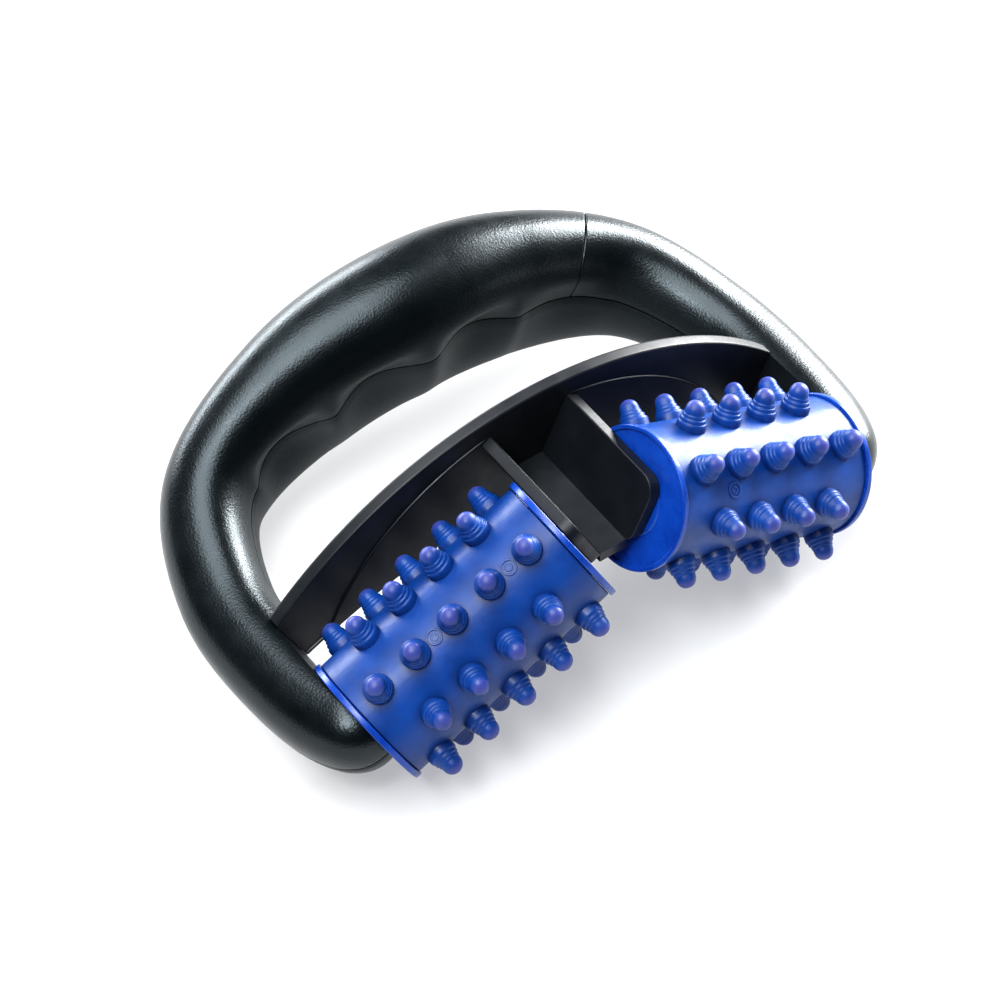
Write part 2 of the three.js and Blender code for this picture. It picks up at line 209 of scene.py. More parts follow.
def combine(obj, others, operation):
    """Unites obj with others, or cuts them from it."""
    for other in others:
        modifier = obj.modifiers.new(operation, "BOOLEAN")
        modifier.operation = operation
        modifier.solver = "MANIFOLD"
        modifier.object = other
    graph = bpy.context.evaluated_depsgraph_get()
    result = bpy.data.meshes.new_from_object(obj.evaluated_get(graph))
    obj.modifiers.clear()
    obj.data = result
    for other in others:
        bpy.data.objects.remove(other)
    return obj


def ribbon_faces(rows, columns, wrap_rows=False, wrap_columns=True):
    faces = []
    for i in range(rows if wrap_rows else rows - 1):
        for j in range(columns if wrap_columns else columns - 1):
            a, b = i * columns + j, i * columns + (j + 1) % columns
            c = ((i + 1) % rows) * columns + (j + 1) % columns
            d = ((i + 1) % rows) * columns + j
            faces.append((a, b, c, d))
    return faces


def tube_of_sections(name, sections):
    """A closed body through equal closed sections, capped with a fan at each end."""
    rows, columns, _ = sections.shape
    points = sections.reshape(-1, 3)
    faces = ribbon_faces(rows, columns)
    first, last = len(points), len(points) + 1
    ends = np.array([sections[0].mean(axis=0), sections[-1].mean(axis=0)])
    base = (rows - 1) * columns
    for j in range(columns):
        k = (j + 1) % columns
        faces.append((first, k, j))
        faces.append((last, base + j, base + k))
    return face_outward(mesh_object(name, np.vstack([points, ends]), faces))


def rounded(corners, radius, steps=3):
    """A polyline profile whose inner corners are rounded."""
    result = [corners[0]]
    for before, corner, after in zip(corners, corners[1:], corners[2:]):
        before, corner, after = (np.array(p, float) for p in (before, corner, after))
        back, ahead = before - corner, after - corner
        reach = min(radius, np.linalg.norm(back) * 0.45, np.linalg.norm(ahead) * 0.45)
        start = corner + back / np.linalg.norm(back) * reach
        end = corner + ahead / np.linalg.norm(ahead) * reach
        for i in range(steps + 1):
            t = i / steps
            result.append((1 - t) ** 2 * start + 2 * t * (1 - t) * corner + t * t * end)
    result.append(corners[-1])
    return [tuple(p) for p in result]


def turned(name, profile, segments, place, swell=None):
    """A turned closed body from (radius, height) points, set down by a 4 x 4 matrix.
    A profile that stays off the axis closes on itself; swell(radius, height, angles) gives the radius."""
    profile = np.array(profile, float)
    solid = profile[0][0] == 0 and profile[-1][0] == 0
    body = profile[1:-1] if solid else profile
    angles = np.linspace(0, 2 * math.pi, segments, endpoint=False)
    radius, height = body[:, 0][:, None], body[:, 1][:, None] + 0 * angles
    radius = radius + 0 * angles if swell is None else swell(radius, height, angles)
    points = np.stack([radius * np.cos(angles), radius * np.sin(angles), height], axis=-1).reshape(-1, 3)
    rows = len(body)
    faces = ribbon_faces(rows, segments, wrap_rows=not solid)
    if solid:
        points = np.vstack([points, [0, 0, profile[0][1]], [0, 0, profile[-1][1]]])
        first, last, base = rows * segments, rows * segments + 1, (rows - 1) * segments
        for j in range(segments):
            k = (j + 1) % segments
            faces += [(first, k, j), (last, base + j, base + k)]
    place = np.array(place)
    return face_outward(mesh_object(name, points @ place[:3, :3].T + place[:3, 3], faces))


def box(low, high, place=None):
    """A box between two corners, in the frame of a 4 x 4 matrix."""
    x, y, z = zip(low, high)
    points = np.array([(x[i], y[j], z[k]) for i in (0, 1) for j in (0, 1) for k in (0, 1)], float)
    faces = [(0, 1, 3, 2), (4, 6, 7, 5), (0, 4, 5, 1), (2, 3, 7, 6), (0, 2, 6, 4), (1, 5, 7, 3)]
    if place is not None:
        points = points @ place[:3, :3].T + place[:3, 3]
    return face_outward(mesh_object("box", points, faces))


def prism(outline, thickness, edge, place):
    """A flat plate of a convex outline in XY, its rims softened, set down by a 4 x 4 matrix."""
    count = len(outline)
    points = [(x, y, z) for z in (0, thickness) for x, y in outline]
    faces = [tuple(reversed(range(count))), tuple(range(count, 2 * count))]
    faces += [(j, (j + 1) % count, count + (j + 1) % count, count + j) for j in range(count)]
    points = np.array(points, float) @ place[:3, :3].T + place[:3, 3]
    plate = face_outward(mesh_object("plate", points, faces))

    def soften(shape):
        rims = [e for e in shape.edges if any(len(f.verts) > 4 for f in e.link_faces)]
        bmesh.ops.bevel(shape, geom=rims, offset=edge * MM, segments=3, profile=0.5, affect="EDGES")

    return edit(plate, soften)


def keep_piece(obj, name, body, material, nodes, sharp=35):
    """Names a finished piece, shades it smooth up to an angle and puts it on its body."""
    obj.name = name
    obj.data.name = name
    obj.data.materials.clear()
    obj.data.materials.append(material)
    obj.data.polygons.foreach_set("use_smooth", [True] * len(obj.data.polygons))
    obj.data.set_sharp_from_angle(angle=math.radians(sharp))
    even = obj.modifiers.new("normals", "WEIGHTED_NORMAL")
    even.keep_sharp = True
    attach(obj, body)
    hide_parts(*nodes)
    return obj


# ------------------------------------------------------------------ roller frames
def roller_frame(side):
    """A 4 x 4 matrix whose Z runs from the outer to the inner end, with Y square to it and upright."""
    cos, sin = math.cos(ROLLER_TILT), math.sin(ROLLER_TILT)
    along = np.array([-side * cos, 0, sin])
    up = np.array([side * sin, 0, cos])
    place = np.eye(4)
    place[:3, 0], place[:3, 1], place[:3, 2] = np.cross(up, along), up, along
    place[:3, 3] = (side * ROLLER_CENTRE_X, 0, 0)
    return place


def roller_box(side, y, width, along):
    """A box in a roller's frame whose depth is given by world Y."""
    low_x, high_x = (y[0], y[1]) if side < 0 else (-y[1], -y[0])
    return box((low_x, width[0], along[0]), (high_x, width[1], along[1]), roller_frame(side))


# ------------------------------------------------------------------ handle loop
def spline_points(controls, samples=120):
    """Centripetal Catmull-Rom curve through the control points."""
    p = np.vstack([2 * controls[0] - controls[1], controls, 2 * controls[-1] - controls[-2]])
    t = np.linspace(0, 1, samples, endpoint=False)[:, None]
    pieces = []
    for p0, p1, p2, p3 in zip(p, p[1:], p[2:], p[3:]):
        d0, d1, d2 = (np.linalg.norm(b - a) ** 0.5 for a, b in ((p0, p1), (p1, p2), (p2, p3)))
        m1 = ((p1 - p0) / d0 - (p2 - p0) / (d0 + d1) + (p2 - p1) / d1) * d1
        m2 = ((p2 - p1) / d1 - (p3 - p1) / (d1 + d2) + (p3 - p2) / d2) * d1
        cubic, square = 2 * p1 - 2 * p2 + m1 + m2, -3 * p1 + 3 * p2 - 2 * m1 - m2
        pieces.append(((cubic * t + square) * t + m1) * t + p1)
    return np.vstack([*pieces, controls[-1:]])


def loop_height(x):
    return GRIP_HEIGHT - ARCH_DROP * np.abs(x / LOOP_HALF_WIDTH) ** ARCH_POWER


def loop_line():
    right = np.array([(x, y, loop_height(x)) for x, y in LOOP_PLAN], float)
    left = right[:0:-1] * (-1, 1, 1)
    points = spline_points(np.vstack([left, right]))
    steps = np.linalg.norm(np.diff(points, axis=0), axis=1)
    distance = np.concatenate([[0], np.cumsum(steps)])
    return points, distance - distance[-1] / 2


LOOP_POINTS, LOOP_DISTANCE = loop_line()
LOOP_HALF = LOOP_DISTANCE[-1]


def along_loop(values, distance):
    return np.stack([np.interp(distance, LOOP_DISTANCE, values[:, k]) for k in range(3)], axis=-1)


def unit(vectors):
    return vectors / np.linalg.norm(vectors, axis=-1, keepdims=True)


def loop_frames(distance):
    """Origins, directions and section sizes at distances along the loop."""
    distance = np.clip(np.asarray(distance, float), -LOOP_HALF, LOOP_HALF)
    origin = along_loop(LOOP_POINTS, distance)
    along = unit(along_loop(np.gradient(LOOP_POINTS, LOOP_DISTANCE, axis=0), distance))
    level = unit(np.cross((0, 0, 1), along))
    square = np.cross(along, level)
    roll = (ARM_ROLL * np.minimum(1, (origin[..., 0] / LOOP_HALF_WIDTH) ** 2))[..., None]
    far = np.abs(distance)
    narrow, shallow = smoothstep(far, *NARROW_SPAN), smoothstep(far, *SHALLOW_SPAN)
    into_end = np.clip((far - (LOOP_HALF - ARM_TAPER)) / ARM_TAPER, 0, 1)
    return {
        "origin": origin,
        "along": along,
        "outward": level * np.cos(roll) - square * np.sin(roll),
        "up": square * np.cos(roll) + level * np.sin(roll),
        "taper": np.sqrt(1 - END_TAPER * into_end**2),
        "half": lerp(GRIP_SECTION["half"], ARM_SECTION["half"], narrow),
        "above": lerp(GRIP_SECTION["above"], ARM_SECTION["above"], shallow),
        "below": lerp(GRIP_SECTION["below"], ARM_SECTION["below"], shallow),
    }


def finger_hollow(x, u, v):
    """How far the finger hollows press the inner side of the loop outwards."""
    swing = np.sin(math.pi * x / FINGER_PITCH) ** 2
    wave = (np.sqrt(swing + CUSP_ROUND**2) - CUSP_ROUND) / (math.sqrt(1 + CUSP_ROUND**2) - CUSP_ROUND)
    number = np.floor(x / FINGER_PITCH + len(FINGER_DEPTHS) / 2).astype(int)
    inside = (number >= 0) & (number < len(FINGER_DEPTHS))
    depth = FINGER_DEPTHS[np.clip(number, 0, len(FINGER_DEPTHS) - 1)] * inside
    fade = np.where(v > 0, smoothstep(v, *HOLLOW_ABOVE), smoothstep(-v, *HOLLOW_BELOW))
    return depth * wave * smoothstep(-u, *HOLLOW_INWARD) * (1 - fade)


def section_outline(upper):
    """Unit half oval and its parting face, as a closed ring of (u, v)."""
    angle = np.linspace(0, math.pi, OVAL_POINTS) + (0 if upper else math.pi)
    power = 2 / SECTION_POWER
    cos, sin = np.cos(angle), np.sin(angle)
    u = np.sign(cos) * np.abs(cos) ** power
    v = np.sign(sin) * np.abs(sin) ** power
    v[[0, -1]] = 0
    flat = np.linspace(u[-1], u[0], PARTING_POINTS + 2)[1:-1]
    return np.concatenate([u, flat]), np.concatenate([v, 0 * flat])


def loop_grid(distance, u, v, lift, shrink):
    """Points of the loop's surface, a row for each distance and a column for each (u, v) of a section."""
    f = loop_frames(distance)
    half = (f["half"] - shrink) * f["taper"]
    tall = (np.where(v > 0, f["above"], f["below"]) - shrink) * f["taper"]
    outward = u * half + finger_hollow(f["origin"][..., 0], u, v)
    up = v * tall + lift
    return f["origin"] + outward[..., None] * f["outward"] + up[..., None] * f["up"]


def edge_round(distance, reach, depth):
    """How far a surface is drawn in at a distance from its edge, so that the edge is rounded."""
    t = np.clip(1 - distance / reach, 0, 1)
    return depth * (1 - np.sqrt(1 - t**2))


def seam_lean(distance, u):
    """How far the sections lean along the loop near the end cover's seam."""
    return COVER_SKEW * u * np.clip(1 - np.abs(distance - COVER_SEAM) / COVER_SKEW_REACH, 0, 1)


def half_loop(name, upper, start, end):
    """Half of the loop with rounded lips along the parting line and at both ends."""
    u, v = section_outline(upper)
    # the sections lie close together at both ends, where the edges are rounded
    fine = np.linspace(0, STATION_STEP, 7)
    body = np.arange(start + 1, end - 1, STATION_STEP) + 0.2
    station = np.concatenate([start + fine, body, end - fine[::-1]])[:, None]
    distance = station + seam_lean(station, u) if upper else station + 0 * u
    lift = GAP / 2 if upper else -GAP / 2
    shrink = edge_round(np.minimum(station - start, end - station), **END_ROUND)
    grid = loop_grid(distance, u, v, lift, shrink)
    # the outer and inner lips turn in towards the parting face
    f = loop_frames(distance)
    height = np.abs(((grid - f["origin"]) * f["up"]).sum(-1))
    draw = edge_round(height - GAP / 2, **PARTING_LIP)
    oval = np.arange(len(u)) < OVAL_POINTS
    inward = np.where(u > 0, -1, 1) * (np.abs(u) > 0.5) * oval
    grid = grid + (draw * inward)[..., None] * f["outward"]
    return tube_of_sections(name, grid)


def at_loop(distance):
    """A 4 x 4 matrix whose Z is the section's up at a distance along the loop."""
    f = loop_frames(distance)
    place = np.eye(4)
    place[:3, 0], place[:3, 1], place[:3, 2], place[:3, 3] = f["outward"], -f["along"], f["up"], f["origin"]
    return place


def room_cutter(side):
    """The room that a roller and the bridge need between the arms."""
    reach, inner_end = ROOM["reach"], ROOM["inner_end"]
    return roller_box(side, (-reach, WALL_BACK + GAP), (-reach, reach), (-SUPPORT_FACE, inner_end))


def screw_well(distance):
    """The well of a shell screw, flared where it meets the lower shell's surface."""
    f = loop_frames(distance)
    surface = -f["below"] * f["taper"]
    radius = SCREW_HEAD["radius"] + GAP
    mouth = radius + WELL["flare"]
    profile = [
        (0, WELL["end"]), (mouth, WELL["end"]), (mouth, surface - WELL["mouth"]),
        (radius, surface + WELL["flare"]), (radius, SCREW_SEAT), (0, SCREW_SEAT),
    ]
    return turned("well", profile, 40, at_loop(distance))


def handle_shell(name, upper, start, end, node):
    shell = half_loop(name, upper, start, end)
    cutters = [room_cutter(side) for side in SPIN]
    if not upper:
        cutters += [screw_well(place) for place in SCREW_PLACES]
    combine(shell, cutters, "DIFFERENCE")
    return keep_piece(shell, name, "handle", handle_plastic, [node], sharp=40)


# ------------------------------------------------------------------ bridge
def wall_top(x):
    return WALL_TOP - WALL_TOP_RADIUS + np.sqrt(WALL_TOP_RADIUS**2 - x**2)


def wall_bottom(x):
    return WALL_BOTTOM - WALL_BOTTOM_FALL * x**2


def wall_crease(x):
    arc = CREASE_TOP - CREASE_RADIUS + np.sqrt(np.maximum(CREASE_RADIUS**2 - x**2, 0))
    return np.maximum(arc, wall_bottom(x) + CREASE_LEAST)


def wall_end(edge):
    """Where an edge of the wall meets the inner face of the right arm, less the clearance.
    Each round starts from the edge's height at the last place found."""
    x = ROLLER_CENTRE_X
    for _ in range(40):
        reach = SUPPORT_FACE - GAP + edge(x) * math.sin(ROLLER_TILT)
        x = ROLLER_CENTRE_X + reach / math.cos(ROLLER_TILT)
    return x


def bridge_wall():
    """The wall as a section of rounded rim, step and foot, carried along its three curved edges.
    A corner of the section is an edge, a depth, a rise and its share of the step past the lugs."""
    front, back, r = WALL_BACK - WALL_THICKNESS, WALL_BACK, WALL_EDGE
    edges = {"top": wall_top, "crease": wall_crease, "bottom": wall_bottom}
    arc = [(r * (1 - math.cos(t)), r * (1 - math.sin(t))) for t in np.linspace(0, math.pi / 2, 5)]
    section = [("top", front + a, -b, 0) for a, b in arc]
    section += [("top", back - RIM_BACK[0] * a, -RIM_BACK[1] * b, 0) for a, b in reversed(arc)]
    section += [("crease", back, 0.0, 0)]
    section += [("bottom", back - a, b, 0) for a, b in arc]
    section += [("bottom", front + a, b, 1) for a, b in reversed(arc)]
    section += [("crease", front, rise, share) for rise, share in CREASE_CORNERS]
    q = np.linspace(-1, 1, 161)
    rows = []
    for edge, y, lift, share in section:
        x = q * wall_end(edges[edge])
        depth = y - share * WALL_STEP * smoothstep(np.abs(x), *STEP_FADE)
        rows.append(np.stack([x, depth, edges[edge](x) + lift], axis=-1))
    return tube_of_sections("roller_bridge_wall", np.stack(rows, axis=1))


def lug_outline():
    """A lug's outline in depth and height from the axis, with two round corners at its free end."""
    back, end, r = WALL_BACK - WALL_OVERLAP, LUG_END_Y, LUG_CORNER
    turn = [(r - r * math.sin(t), r - r * math.cos(t)) for t in np.linspace(0, math.pi / 2, 9)]
    high = [(end + dy, LUG_TOP - dw) for dy, dw in turn]
    low = [(end + dy, -LUG_BOTTOM + dw) for dy, dw in reversed(turn)]
    return [(back, -LUG_BOTTOM), (back, LUG_TOP), *high, *low]


def lug(side):
    outline = lug_outline() if side < 0 else [(-y, w) for y, w in reversed(lug_outline())]
    lift = np.eye(4)
    lift[2, 3] = SUPPORT_FACE
    return prism(outline, LUG_THICKNESS, LUG_EDGE, roller_frame(side) @ lift)


def web():
    """The plate between the two lugs."""
    back = WALL_BACK - WALL_THICKNESS + WALL_OVERLAP
    return box((-WEB_HALF, WEB_END_Y, WEB_TOP - WEB_THICKNESS), (WEB_HALF, back, WEB_TOP))


def bridge():
    shape = bridge_wall()
    combine(shape, [lug(-1), lug(1), web()], "UNION")
    name = "roller_bridge_moulding"
    return keep_piece(shape, name, "handle", bridge_plastic, ["roller_bridge"])


# ------------------------------------------------------------------ rollers
def stud_profile():
    """The stepped beehive, closed by a round tip."""
    steps = rounded([(0, STUD_STEPS[0][1]), *STUD_STEPS], 0.14, 2)
    top_radius, top = STUD_STEPS[-1]
    rise = STUD_HEIGHT - top
    turn = np.linspace(0, math.pi / 2, 8)[1:]
    dome = [(top_radius * math.cos(t) ** 0.9, top + rise * math.sin(t)) for t in turn[:-1]]
    return [*steps, *dome, (0, STUD_HEIGHT)]


def stud_swell(radius, height, angles):
    """Faint lobes on the upper part of a stud."""
    share = smoothstep(height, *STUD_LOBES["rise"]) * (1 - smoothstep(height, *STUD_LOBES["fall"]))
    return radius * (1 + STUD_LOBES["swell"] * share * np.cos(STUD_LOBES["count"] * angles))


def stud_places(side):
    """The angle round the axis and the place along it of each stud, in rows of five and four in turn."""
    for row in range(STUD_ROWS):
        count = 5 if row % 2 == 0 else 4
        angle = math.radians(STUD_PHASE[side] + row * 360 / STUD_ROWS)
        for i in range(count):
            yield angle, (i - (count - 1) / 2) * STUD_PITCH


def on_sleeve(side, angle, z):
    """A 4 x 4 matrix on the sleeve's surface, whose Z points away from the axis."""
    out = np.array([math.cos(angle), math.sin(angle), 0])
    local = np.eye(4)
    local[:3, 0], local[:3, 1], local[:3, 2] = (0, 0, 1), np.cross(out, (0, 0, 1)), out
    local[:3, 3] = out * SLEEVE_RADIUS + np.array([0, 0, z])
    return roller_frame(side) @ local


def gate_mark(side, angle, z):
    """Two faint rings that the mould's gate left on a sleeve."""
    place = on_sleeve(side, math.radians(angle), z)
    rings = []
    for inner, outer, top in GATE_RINGS:
        corners = [(inner, 0), (inner, -1), (outer, -1), (outer, top), (inner, top), (inner, 0)]
        rings.append(turned("ring", rounded(corners, 0.12)[:-1], 40, place))
    return rings


def stud(side, angle, z):
    return turned("stud", stud_profile(), 28, on_sleeve(side, angle, z), stud_swell)


def mark_tips(piece, side):
    """Writes how pale each point is, which grows towards the tips of the studs."""
    place = roller_frame(side)
    points = (np.array([v.co for v in piece.data.vertices]) - DATUM) / MM
    radial = np.linalg.norm(((points - place[:3, 3]) @ place[:3, :3])[:, :2], axis=1)
    tip = piece.data.attributes.new("tip", "FLOAT", "POINT")
    tip.data.foreach_set("value", (smoothstep(radial, *TIP_SPAN) * TIP_SHARE).astype(np.float32))


def sleeve(side):
    bore, outside, half = SLEEVE_BORE, SLEEVE_RADIUS, SLEEVE_HALF
    corners = [(bore, 0), (bore, -half), (outside, -half), (outside, half), (bore, half), (bore, 0)]
    name = SIDE_NAMES[side]
    body = turned(name, rounded(corners, SLEEVE_EDGE)[:-1], 160, roller_frame(side))
    studs = [stud(side, *place) for place in stud_places(side)]
    marks = [ring for place in GATE_MARKS[side] for ring in gate_mark(side, *place)]
    combine(body, [join(studs), join(marks)], "UNION")
    nodes = [f"{name}_roller_sleeve"]
    piece, roller = f"{name}_studded_sleeve", f"{name}_roller"
    keep_piece(body, piece, roller, roller_rubber, nodes, sharp=50)
    mark_tips(body, side)
    return body


def dress_core(side):
    """Gives the CAD's own core its material."""
    slots = frame["nodes"][f"{SIDE_NAMES[side]}_roller_core"].data.materials
    slots.clear()
    slots.append(core_plastic)


def end_cap(side, end):
    """A flanged cap with a raised rim and hub, and a plug that fits in the core.
    End is 1 at the inner end and -1 at the outer one."""
    bore, plug = AXLE_RADIUS + GAP, SLEEVE_BORE - GAP - CORE_WALL - GAP
    flange, face = SLEEVE_HALF + CAP_GAP, CAP_FACE
    rim, hub, slope = CAP_DISH["rim"], CAP_DISH["hub"], CAP_DISH["slope"]
    dish = face - CAP_DISH["depth"]
    recess, floor = CAP_RECESS["radius"], face - CAP_RECESS["depth"]
    corners = [(bore, CAP_BORE_MIDDLE), (bore, CAP_PLUG_END), (plug, CAP_PLUG_END), (plug, flange)]
    corners += [(CAP_RADIUS, flange), (CAP_RADIUS, face), (rim, face), (rim - slope, dish)]
    corners += [(hub + slope, dish), (hub, face), (recess, face), (recess, floor), (bore, floor)]
    corners += [(bore, CAP_BORE_MIDDLE)]
    profile = [(r, end * z) for r, z in rounded(corners, 0.3)[:-1]]
    side_name = SIDE_NAMES[side]
    name = f"{side_name}_{'inner' if end > 0 else 'outer'}_end_cap"
    cap = turned(name, profile, 128, roller_frame(side))
    return keep_piece(cap, f"{name}_moulding", f"{side_name}_roller", cap_plastic, [name])


def washer(side, end):
    thickness, radius, bore = WASHER_THICKNESS, WASHER_RADIUS, AXLE_RADIUS + GAP
    low = SUPPORT_FACE - GAP - thickness
    high, middle = low + thickness, low + 0.3
    corners = [(bore, middle), (bore, low), (radius, low), (radius, high), (bore, high), (bore, middle)]
    profile = [(r, end * z) for r, z in rounded(corners, 0.12, 2)[:-1]]
    name = f"{SIDE_NAMES[side]}_{'inner' if end > 0 else 'outer'}_washer"
    ring = turned(name, profile, 64, roller_frame(side))
    return keep_piece(ring, f"{name}_turned", "handle", washer_nylon, [name])


def axle(side):
    outer = -(SUPPORT_FACE + AXLE_SEAT_DEPTH - GAP)
    inner = SUPPORT_FACE + LUG_THICKNESS - AXLE_LUG_SKIN - GAP
    profile = rounded([(0, outer), (AXLE_RADIUS, outer), (AXLE_RADIUS, inner), (0, inner)], AXLE_EDGE)
    name = f"{SIDE_NAMES[side]}_axle"
    pin = turned(name, profile, 48, roller_frame(side))
    return keep_piece(pin, f"{name}_turned", "handle", axle_steel, [name])


def screw(number, distance):
    """A shell screw whose head, with a cross recess, sits at the bottom of its well."""
    place = at_loop(distance)
    head, shank = SCREW_HEAD["radius"], SCREW_SHANK["radius"]
    under = SCREW_SEAT - GAP
    low, tip = under - SCREW_HEAD["height"], under + SCREW_SHANK["length"]
    corners = [(0, low), (head * SCREW_HEAD["face"], low), (head, low + SCREW_HEAD["bevel"]), (head, under)]
    corners += [(shank, under), (shank, tip - SCREW_SHANK["point"]), (0, tip)]
    pin = turned("screw", rounded(corners, 0.3), 36, place)
    arm, half, depth = SCREW_CROSS["arm"], SCREW_CROSS["half"], SCREW_CROSS["depth"]
    slots = ((arm, half), (half, arm))
    combine(pin, [box((-x, -y, low - depth), (x, y, low + depth), place) for x, y in slots], "DIFFERENCE")
    name = f"shell_screw_{number}"
    return keep_piece(pin, f"{name}_turned", "handle", screw_steel, [name])


# ------------------------------------------------------------------ materials
class Surface:
    """A Principled material and the few nodes that its colour, roughness and bump need."""

    def __init__(self, name, **constants):
        self.material = bpy.data.materials.new(name)
        self.material.use_nodes = True
        self.nodes = self.material.node_tree.nodes
        self.links = self.material.node_tree.links
        self.shader = next(n for n in self.nodes if n.type == "BSDF_PRINCIPLED")
        for key, value in constants.items():
            self.shader.inputs[key.replace("_", " ")].default_value = value
        self.coordinates = self.nodes.new("ShaderNodeTexCoord")
        self.place = self.coordinates.outputs["Object"]
        self.normal = None

    def noise(self, size, detail=2.0, stretch=None):
        """Noise whose grains are about size millimetres across."""
        node = self.nodes.new("ShaderNodeTexNoise")
        node.inputs["Scale"].default_value = 1 / (size * MM)
        node.inputs["Detail"].default_value = detail
        self.links.new(self.place if stretch is None else self.stretched(stretch), node.inputs["Vector"])
        return node.outputs["Fac"]

    def stretched(self, scale):
        node = self.nodes.new("ShaderNodeMapping")
        node.inputs["Scale"].default_value = scale
        self.links.new(self.place, node.inputs["Vector"])
        return node.outputs["Vector"]

    def cells(self, size):
        node = self.nodes.new("ShaderNodeTexVoronoi")
        node.inputs["Scale"].default_value = 1 / (size * MM)
        self.links.new(self.place, node.inputs["Vector"])
        return node.outputs["Distance"]

    def spread(self, value, low, high, start=0.3, stop=0.7):
        """Maps a value between start and stop to a range."""
        node = self.nodes.new("ShaderNodeMapRange")
        node.inputs["From Min"].default_value = start
        node.inputs["From Max"].default_value = stop
        node.inputs["To Min"].default_value = low
        node.inputs["To Max"].default_value = high
        self.links.new(value, node.inputs["Value"])
        return node.outputs["Result"]

    def blend(self, factor, low, high):
        """Blends two colours, each a constant or a socket."""
        node = self.nodes.new("ShaderNodeMix")
        node.data_type = "RGBA"
        self.links.new(factor, node.inputs["Factor"])
        for name, value in (("A", low), ("B", high)):
            socket = next(s for s in node.inputs if s.name == name and s.type == "RGBA")
            if isinstance(value, tuple):
                socket.default_value = (*value, 1)
            else:
                self.links.new(value, socket)
        return next(s for s in node.outputs if s.type == "RGBA")

    def mix(self, factor, low, high):
        """Goes from a number's socket to a constant."""
        node = self.nodes.new("ShaderNodeMix")
        self.links.new(factor, node.inputs["Factor"])
        self.links.new(low, node.inputs["A"])
        node.inputs["B"].default_value = high
        return node.outputs["Result"]

    def attribute(self, name):
        node = self.nodes.new("ShaderNodeAttribute")
        node.attribute_name = name
        return node.outputs["Fac"]

    def inwardness(self, centre, start, stop):
        """1 on faces that look towards a centre in millimetres, 0 on faces that look past it or away."""
        offset = self.nodes.new("ShaderNodeVectorMath")
        offset.operation = "SUBTRACT"
        offset.inputs[1].default_value = tuple(np.array(centre) * MM + DATUM)
        direction = self.nodes.new("ShaderNodeVectorMath")
        direction.operation = "NORMALIZE"
        product = self.nodes.new("ShaderNodeVectorMath")
        product.operation = "DOT_PRODUCT"
        self.links.new(self.place, offset.inputs[0])
        self.links.new(offset.outputs["Vector"], direction.inputs[0])
        self.links.new(direction.outputs["Vector"], product.inputs[0])
        self.links.new(self.coordinates.outputs["Normal"], product.inputs[1])
        return self.spread(product.outputs["Value"], 1, 0, start, stop)

    def crease_shade_mask(self, reach):
        """A mask for painted shade: nearly 0 in a crease and 1 in the open, looking round over a reach in
        millimetres.
        """
        node = self.nodes.new("ShaderNodeAmbientOcclusion")
        node.samples = 6
        node.inputs["Distance"].default_value = reach * MM
        return node.outputs["AO"]

    def colour(self, socket):
        self.links.new(socket, self.shader.inputs["Base Color"])

    def roughness(self, socket):
        self.links.new(socket, self.shader.inputs["Roughness"])

    def bump(self, height, depth, strength=1.0):
        """Adds a bump of a depth in millimetres on top of the bumps before it."""
        node = self.nodes.new("ShaderNodeBump")
        node.inputs["Strength"].default_value = strength
        node.inputs["Distance"].default_value = depth * MM
        self.links.new(height, node.inputs["Height"])
        if self.normal is not None:
            self.links.new(self.normal, node.inputs["Normal"])
        self.normal = node.outputs["Normal"]
        self.links.new(self.normal, self.shader.inputs["Normal"])


def grained_plastic():
    """Black plastic with a fine leather grain from the mould, duller on the side that the fingers hold."""
    s = Surface("handle_plastic", Specular_IOR_Level=0.5)
    s.shader.inputs["Specular Tint"].default_value = (0.82, 0.94, 1.0, 1)
    s.colour(s.blend(s.spread(s.noise(14), 0, 1), (0.0012, 0.0024, 0.0030), (0.0020, 0.0036, 0.0048)))
    outer_side = s.spread(s.noise(5, 3), 0.27, 0.33)
    s.roughness(s.mix(s.inwardness((0, 10, -30), -0.7, -0.35), outer_side, 0.55))
    s.bump(s.cells(0.6), 0.045, 0.65)
    s.bump(s.noise(0.4, 3), 0.05, 0.7)
    return s.material


def smooth_plastic():
    """Dark plastic of the bridge, from a plain satin mould."""
    s = Surface("bridge_plastic", Specular_IOR_Level=0.4)
    s.colour(s.blend(s.spread(s.noise(9), 0, 1), (0.006, 0.0075, 0.010), (0.010, 0.0118, 0.015)))
    s.roughness(s.spread(s.noise(4, 4), 0.36, 0.48))
    s.bump(s.noise(0.5, 4), 0.02, 0.4)
    return s.material


def sleeve_rubber():
    """Blue moulded PVC, paler and more violet at the stud tips, with painted shade darkening the blue in
    the creases round the studs.
    """
    s = Surface("roller_rubber", Specular_IOR_Level=0.36, Subsurface_Weight=0.12, Subsurface_Scale=0.0015)
    s.shader.inputs["Subsurface Radius"].default_value = (0.2, 0.5, 1.0)
    s.shader.inputs["Coat Weight"].default_value = 0.06
    s.shader.inputs["Coat Roughness"].default_value = 0.2
    body = s.blend(s.spread(s.noise(7, 3), 0, 1), (0.0028, 0.038, 0.195), (0.0042, 0.058, 0.285))
    open_face = s.blend(s.attribute("tip"), body, (0.105, 0.085, 0.31))
    # painted shade: an ambient-occlusion mask darkens the blue towards a deep blue in the creases round the
    # stud bases and steps
    s.colour(s.blend(s.spread(s.crease_shade_mask(2.5), 0, 1, 0.35, 0.95), (0.001, 0.016, 0.10), open_face))
    s.roughness(s.spread(s.noise(3, 4), 0.36, 0.50))
    s.bump(s.noise(3.5), 0.12, 0.35)
    s.bump(s.noise(1.2, 4), 0.06, 0.4)
    s.bump(s.noise(0.4, 2), 0.015, 0.4)
    return s.material


